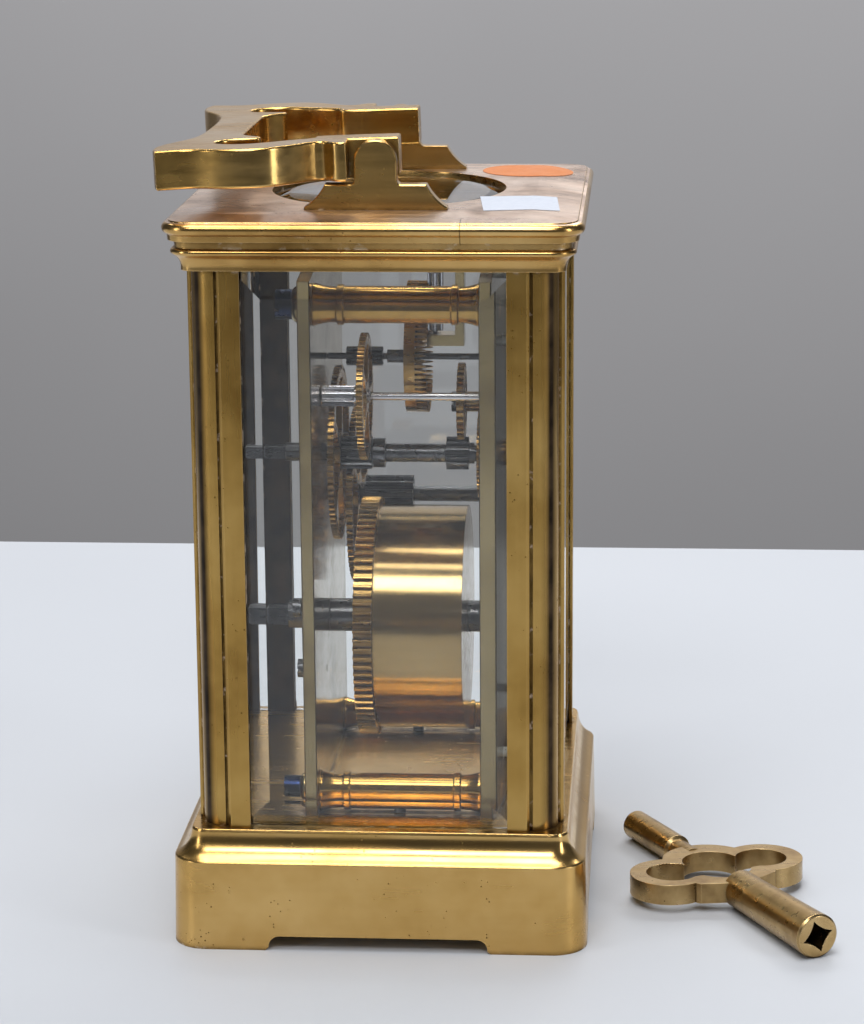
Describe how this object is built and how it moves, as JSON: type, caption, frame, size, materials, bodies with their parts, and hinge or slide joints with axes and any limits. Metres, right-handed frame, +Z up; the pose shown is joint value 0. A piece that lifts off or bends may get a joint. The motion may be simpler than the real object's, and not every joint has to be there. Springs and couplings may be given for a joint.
{
  "type": "carriage clock",
  "caption": "Brass carriage clock with bevelled glass panels, a folding handle, a hinged rear door, a visible movement and a separate winding key.",
  "frame": {"origin": "centre of the base, on the surface that it stands on", "axes": "+Z up, the dial faces -Y and the rear door +Y, so +X is the left hand side when looking at the door and the right hand side when looking at the dial"},
  "size_m": [0.0934, 0.1316, 0.1583],
  "materials": {
    "case_brass": "aged polish with pits and stains",
    "roof_brass": "tarnished satin",
    "plate_brass": "fine grained",
    "wheel_brass": "satin",
    "barrel_brass": "turned satin",
    "steel": "dark polished",
    "bright_steel": "polished",
    "blued_steel": "blued",
    "key_bronze": "dull, worn bright on the edges",
    "glass": "clear bevelled",
    "enamel": "white enamel",
    "enamel_black": "black enamel",
    "sticker_orange": "blank paper sticker",
    "sticker_white": "blank paper label"
  },
  "bodies": {
    "case": {"back_plate": "plate_brass", "back_plate_screws": "steel", "balance_cock": "plate_brass", "base_moulding": "case_brass", "bracket_left": "case_brass", "bracket_right": "case_brass", "bracket_screws": "steel", "case_screws": "steel", "click_spring": "bright_steel", "dial_plate": "enamel", "front_glass": "glass", "front_plate": "plate_brass", "hairspring": "blued_steel", "handle_pins": "steel", "minute_stud": "steel", "pillar_lower_left": "plate_brass", "pillar_lower_right": "plate_brass", "pillar_upper_left": "plate_brass", "pillar_upper_right": "plate_brass", "plate_screws": "blued_steel", "plate_washers": "plate_brass", "platform": "plate_brass", "post_front_left": "case_brass", "post_front_right": "case_brass", "post_rear_left": "case_brass", "post_rear_right": "case_brass", "potence": "plate_brass", "side_glass_left": "glass", "side_glass_right": "glass", "top_cornice": "case_brass", "top_glass": "glass", "train_cock": "plate_brass"},
    "handle": {"handle": "case_brass"},
    "rear_door": {"door_frame": "case_brass", "door_glass": "glass", "door_knob": "case_brass"},
    "barrel": {"great_wheel": "wheel_brass", "barrel_drum": "barrel_brass", "barrel_cap": "barrel_brass", "mainspring": "blued_steel"},
    "winding": {"barrel_arbor": "steel", "ratchet_wheel": "steel"},
    "click": {"click": "steel"},
    "intermediate": {"intermediate_arbor": "steel", "intermediate_wheel": "wheel_brass"},
    "centre": {"centre_pinion": "steel", "centre_wheel": "wheel_brass"},
    "hands": {"hand_arbor": "steel", "minute_hand": "blued_steel"},
    "third": {"third_arbor": "bright_steel", "third_wheel": "wheel_brass"},
    "contrate": {"contrate_arbor": "steel", "contrate_wheel": "wheel_brass"},
    "minute_work": {"minute_wheel": "wheel_brass"},
    "hour_work": {"hour_wheel": "wheel_brass", "hour_hand": "blued_steel"},
    "escape": {"escape_wheel": "bright_steel"},
    "lever": {"pallet_lever": "bright_steel"},
    "balance": {"balance_wheel": "wheel_brass"},
    "key": {"winding_key": "key_bronze"}
  },
  "joints": [
    {"name": "handle_fold", "type": "hinge", "parent": "case", "child": "handle", "pos_m": [0, 0, 0.15395], "axis": [1, 0, 0], "range_deg": [0, 180]},
    {"name": "rear_door_swing", "type": "hinge", "parent": "case", "child": "rear_door", "pos_m": [-0.0279, 0.0336, 0.079], "axis": [0, 0, 1], "range_deg": [0, 90]},
    {"name": "key_lift", "type": "slide", "parent": "case", "child": "key", "axis": [0, 0, 1], "range_m": [0, 0.06]},
    {"name": "centre_turn", "type": "hinge", "parent": "case", "child": "centre", "pos_m": [0, 0, 0.0906], "axis": [0, 1, 0], "continuous": true},
    {"name": "barrel_turn", "type": "hinge", "parent": "case", "child": "barrel", "pos_m": [0, 0, 0.0562], "axis": [0, 1, 0], "continuous": true},
    {"name": "intermediate_turn", "type": "hinge", "parent": "case", "child": "intermediate", "pos_m": [0.0167, 0, 0.07807], "axis": [0, 1, 0], "continuous": true},
    {"name": "third_turn", "type": "hinge", "parent": "case", "child": "third", "pos_m": [-0.0128, 0, 0.10488], "axis": [0, 1, 0], "continuous": true},
    {"name": "contrate_turn", "type": "hinge", "parent": "case", "child": "contrate", "pos_m": [0, 0, 0.1106], "axis": [0, 1, 0], "continuous": true},
    {"name": "escape_turn", "type": "hinge", "parent": "case", "child": "escape", "pos_m": [0, -0.00905, 0.125], "axis": [0, 0, 1], "continuous": true},
    {"name": "hands_turn", "type": "hinge", "parent": "case", "child": "hands", "pos_m": [0, 0, 0.0906], "axis": [0, 1, 0], "continuous": true},
    {"name": "minute_work_turn", "type": "hinge", "parent": "case", "child": "minute_work", "pos_m": [0.002, 0, 0.10091], "axis": [0, 1, 0], "continuous": true},
    {"name": "hour_work_turn", "type": "hinge", "parent": "case", "child": "hour_work", "pos_m": [0, 0, 0.0906], "axis": [0, 1, 0], "continuous": true},
    {"name": "winding_turn", "type": "hinge", "parent": "case", "child": "winding", "pos_m": [0, 0, 0.0562], "axis": [0, 1, 0], "continuous": true},
    {"name": "click_lift", "type": "hinge", "parent": "case", "child": "click", "pos_m": [-0.0096, 0.0164, 0.0474], "axis": [0, 1, 0], "range_deg": [0, 12]},
    {"name": "lever_swing", "type": "hinge", "parent": "case", "child": "lever", "pos_m": [0, -0.0024, 0.1327], "axis": [0, 0, 1], "range_deg": [-5, 5]},
    {"name": "balance_swing", "type": "hinge", "parent": "case", "child": "balance", "pos_m": [0, 0.0062, 0.135], "axis": [0, 0, 1], "range_deg": [-150, 150]}
  ],
  "couplings": [
    {"joint": "barrel_turn", "follows": "centre_turn", "ratio": 0.02381},
    {"joint": "intermediate_turn", "follows": "centre_turn", "ratio": -0.16667},
    {"joint": "third_turn", "follows": "centre_turn", "ratio": -10},
    {"joint": "contrate_turn", "follows": "centre_turn", "ratio": 75},
    {"joint": "escape_turn", "follows": "centre_turn", "ratio": -600},
    {"joint": "minute_work_turn", "follows": "hands_turn", "ratio": -0.4},
    {"joint": "hour_work_turn", "follows": "hands_turn", "ratio": 0.083333}
  ]
}
